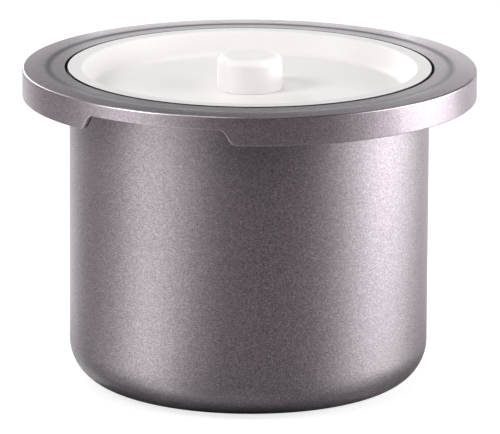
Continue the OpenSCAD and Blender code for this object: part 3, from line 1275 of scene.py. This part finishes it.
# Soft boxes: name, turn, rise, distance, width, height, watts
LIGHTS = (
    ("overhead", 180, 80, 0.9, 0.7, 0.7, 2.6),
    ("overhead_front", 0, 60, 0.9, 0.5, 0.5, 1.75),
    ("right_inner", 50, 18, 0.7, 0.25, 0.4, 0.15),
    ("right_front", 70, 18, 0.7, 0.3, 0.4, 1.9),
    ("right_side", 90, 18, 0.7, 0.3, 0.4, 1.78),
    ("right_skirt", 90, 4, 0.7, 0.3, 0.1, 1.25),
    ("right_low", 110, 4, 0.7, 0.3, 0.1, 1.4),
    ("left_high", -62, 38, 0.75, 0.25, 0.25, 2.45),
    ("left_front", -45, 18, 0.7, 0.25, 0.4, 0.17),
    ("left_side", -68, 18, 0.7, 0.3, 0.4, 1.2),
    ("left_rear", -150, 22, 0.7, 0.3, 0.3, 1.7),
    ("under_foot", 0, -90, 0.5, 0.3, 0.3, 2.5),
)
LIGHT_AIM = 0.06

# Small cards close behind the collar, which graze its top
CARDS = (
    ("card_right", 150, 6, 0.2, 0.1, 0.04, 0.023),
    ("card_middle", 180, 6, 0.2, 0.12, 0.04, 0.025),
    ("card_left", 210, 6, 0.2, 0.1, 0.04, 0.012),
    ("card_high", 160, 28, 0.3, 0.12, 0.12, 0.019),
)
CARD_AIM = 0.11

# Glowing soft spots of painted light on the floor, which only polished surfaces mirror: turn,
# sharpness and strength of each
FLOOR_GLOW = ((180, 2.0, 0.87), (-80, 8.0, 0.25), (-52, 14.0, 1.0))

# Floor: its opening and rings, and the distances from the axis between which it turns from a
# painted shade at the pot's foot, which only the pot sees, to its own tone
FLOOR_OPENING_R = 0.044
FLOOR_RINGS = (0.1, 0.3, 1.0, 3.0, 12.0)
FOOT_R = 0.058
CLEAR_R = 0.12
FLOOR_SHADE_AT_FOOT = (0.04, 0.034, 0.038, 1)
FLOOR_TONE = (0.18, 0.145, 0.167, 1)
FLOOR_SHEEN = 0.3
FLOOR_SHEEN_ROUGHNESS = 0.42

# Floor as the camera sees it: its own grey, and the white that is added to it
FLOOR_SHOWN = (0.35, 0.35, 0.35, 1)
FLOOR_WHITE = 0.78


def add_light(aim, name, turn, rise, distance, width, height, watts):
    """Adds a soft box that points at a height on the axis."""
    data = bpy.data.lights.new(name, "AREA")
    data.shape = "RECTANGLE"
    data.size = width
    data.size_y = height
    data.energy = watts
    lamp = bpy.data.objects.new(name, data)
    bpy.context.scene.collection.objects.link(lamp)
    out = direction(turn, rise)
    lamp.location = Vector((0, 0, aim)) + out * distance
    lamp.rotation_mode = "QUATERNION"
    lamp.rotation_quaternion = (-out).to_track_quat("-Z", "Y")
    lamp.visible_camera = False


def make_lights():
    """Adds the soft boxes and the cards."""
    for light in LIGHTS:
        add_light(LIGHT_AIM, *light)
    for card in CARDS:
        add_light(CARD_AIM, *card)


def towards(tree, where, turn, rise, power):
    """How far a direction points one way, from 0 to 1, as a soft spot."""
    along = vector_node(tree, "DOT_PRODUCT", {0: where, 1: direction(turn, rise)})
    ahead = math_node(tree, "MAXIMUM", along.outputs["Value"], 0.0)
    return math_node(tree, "POWER", ahead, power)


def make_floor():
    """A pale floor, open under the pot's foot so that its base is lit in views from below."""
    bm = bmesh.new()
    bmesh.ops.create_circle(bm, segments=96, radius=FLOOR_OPENING_R)
    ring = bm.edges[:]
    for radius in FLOOR_RINGS:
        grown = bmesh.ops.extrude_edge_only(bm, edges=ring)["geom"]
        for v in verts_of(grown):
            v.co = v.co.normalized() * radius
        new = edges_of(grown)
        ring = [e for e in new if all(abs(v.co.length - radius) < LEVEL for v in e.verts)]
    bmesh.ops.recalc_face_normals(bm, faces=bm.faces)
    mesh = bpy.data.meshes.new("studio_floor")
    bm.to_mesh(mesh)
    bm.free()
    if mesh.polygons[0].normal.z < 0:
        mesh.flip_normals()
    floor = bpy.data.objects.new("studio_floor", mesh)
    bpy.context.scene.collection.objects.link(floor)
    floor.data.materials.append(floor_material())


def add_shaders(tree, first, second):
    """The sum of two shaders."""
    made = tree.nodes.new("ShaderNodeAddShader")
    tree.links.new(first.outputs[0], made.inputs[0])
    tree.links.new(second.outputs[0], made.inputs[1])
    return made


def mix_shaders(tree, share, first, second):
    """A mix of two shaders."""
    made = node(tree, "ShaderNodeMixShader", inputs={0: share})
    tree.links.new(first.outputs[0], made.inputs[1])
    tree.links.new(second.outputs[0], made.inputs[2])
    return made


def floor_glow(tree, where):
    """Sum of the glowing soft spots of painted light that polished surfaces mirror, at a direction
    from the axis.
    """
    glow = 0.0
    for turn, power, level in FLOOR_GLOW:
        spot = towards(tree, where, turn, 0, power)
        glow = math_node(tree, "ADD", math_node(tree, "MULTIPLY", spot, level), glow)
    return glow


def floor_as_seen(tree):
    """The floor as the camera sees it: white, with a faint shadow."""
    shown = node(tree, "ShaderNodeBsdfDiffuse", inputs={"Color": FLOOR_SHOWN})
    white = node(tree, "ShaderNodeEmission", inputs={"Strength": FLOOR_WHITE})
    return add_shaders(tree, shown, white)


def floor_as_lit(tree, path, position):
    """The floor as the pot sees it: a toned sheet with painted shade round the foot, and glowing
    spots of painted light to what mirrors it.
    """
    where = vector_node(tree, "NORMALIZE", {0: position})
    far = vector_node(tree, "LENGTH", {0: position})
    inputs = {0: far.outputs["Value"], 1: FOOT_R, 2: CLEAR_R}
    clear_of_foot = node(tree, "ShaderNodeMapRange", inputs=inputs).outputs[0]

    # Painted shade at the foot, seen only by the pot
    tone = mix_colour(tree, clear_of_foot, FLOOR_SHADE_AT_FOOT, FLOOR_TONE)
    sheet = node(tree, "ShaderNodeBsdfDiffuse", inputs={"Color": tone})
    sheen = node(tree, "ShaderNodeBsdfGlossy", inputs={"Roughness": FLOOR_SHEEN_ROUGHNESS})
    sheen.inputs["Color"].default_value = (1, 1, 1, 1)
    own = mix_shaders(tree, FLOOR_SHEEN, sheet, sheen)

    around = math_node(tree, "MULTIPLY", floor_glow(tree, where.outputs[0]), clear_of_foot)
    mirrored = math_node(tree, "MULTIPLY", around, path.outputs["Is Glossy Ray"])
    mirrored = math_node(tree, "MAXIMUM", mirrored, path.outputs["Is Transmission Ray"])
    glow = node(tree, "ShaderNodeEmission", inputs={"Strength": mirrored})
    return add_shaders(tree, own, glow)


def floor_material():
    """Sheet that is clear from below, and above shows one face to the camera and one to the pot."""
    made = bpy.data.materials.new("floor_sheet")
    made.use_nodes = True
    tree = made.node_tree
    tree.nodes.clear()
    out = tree.nodes.new("ShaderNodeOutputMaterial")
    path = tree.nodes.new("ShaderNodeLightPath")
    geometry = tree.nodes.new("ShaderNodeNewGeometry")
    seen = floor_as_seen(tree)
    lit = floor_as_lit(tree, path, geometry.outputs["Position"])
    above = mix_shaders(tree, path.outputs["Is Camera Ray"], lit, seen)
    clear = tree.nodes.new("ShaderNodeBsdfTransparent")
    sided = mix_shaders(tree, geometry.outputs["Backfacing"], above, clear)
    tree.links.new(sided.outputs[0], out.inputs["Surface"])
    return made


def make_world():
    """White to the camera and through clear pieces, and dark to the rest."""
    world = bpy.data.worlds.new("studio")
    bpy.context.scene.world = world
    world.use_nodes = True
    tree = world.node_tree
    tree.nodes.clear()
    out = tree.nodes.new("ShaderNodeOutputWorld")
    path = tree.nodes.new("ShaderNodeLightPath")
    white = math_node(
        tree, "MAXIMUM", path.outputs["Is Camera Ray"], path.outputs["Is Transmission Ray"]
    )
    room = node(tree, "ShaderNodeBackground", inputs={"Strength": white})
    tree.links.new(room.outputs[0], out.inputs["Surface"])


# Camera: its rise above the floor, distance, lens in millimetres, roll and aim in metres
CAMERA_RISE = math.radians(13.797)
CAMERA_DISTANCE = 2.2167
CAMERA_LENS = 474.8
CAMERA_ROLL = math.radians(0.323)
CAMERA_AIM = 0.00039 * TO_RIGHT + 0.0554 * UP


def make_camera():
    """Long lens in front of the pot."""
    data = bpy.data.cameras.new("camera")
    data.lens = CAMERA_LENS
    data.sensor_width = 36
    data.clip_end = 50
    camera = bpy.data.objects.new("camera", data)
    bpy.context.scene.collection.objects.link(camera)
    back = TOWARDS_VIEWER * math.cos(CAMERA_RISE) + UP * math.sin(CAMERA_RISE)
    level_up = back.cross(TO_RIGHT)
    side = math.cos(CAMERA_ROLL) * TO_RIGHT + math.sin(CAMERA_ROLL) * level_up
    upright = -math.sin(CAMERA_ROLL) * TO_RIGHT + math.cos(CAMERA_ROLL) * level_up
    pose = Matrix((side, upright, back)).transposed().to_4x4()
    pose.translation = CAMERA_AIM + back * CAMERA_DISTANCE
    camera.matrix_world = pose
    bpy.context.scene.camera = camera


# ------------ build


def build():
    """Makes the stage and every piece, with its finish."""
    make_camera()
    make_world()
    make_floor()
    make_lights()
    kit = make_materials()
    dress(make_pot(), kit["pot_paint"], kit["coat"])
    dress(make_flange(), kit["pot_paint"])
    dress(make_collar(), kit["collar_paint"], kit["shade_dark"])
    dress(make_collar_ribs(), kit["shade_dark"])
    dress(make_collar_bosses(), kit["shade_dark"])
    dress(make_gasket(), kit["gasket"])
    dress(make_collar_screws(), kit["steel"])
    dress(make_lid(), kit["lid"])
    dress(make_knob(), kit["knob"])
    dress(make_insert(), kit["brass"])
    dress(make_washer(), kit["steel"])
    dress(make_knob_screw(), kit["steel"])


build()
bpy.context.scene.view_settings.view_transform = "Standard"
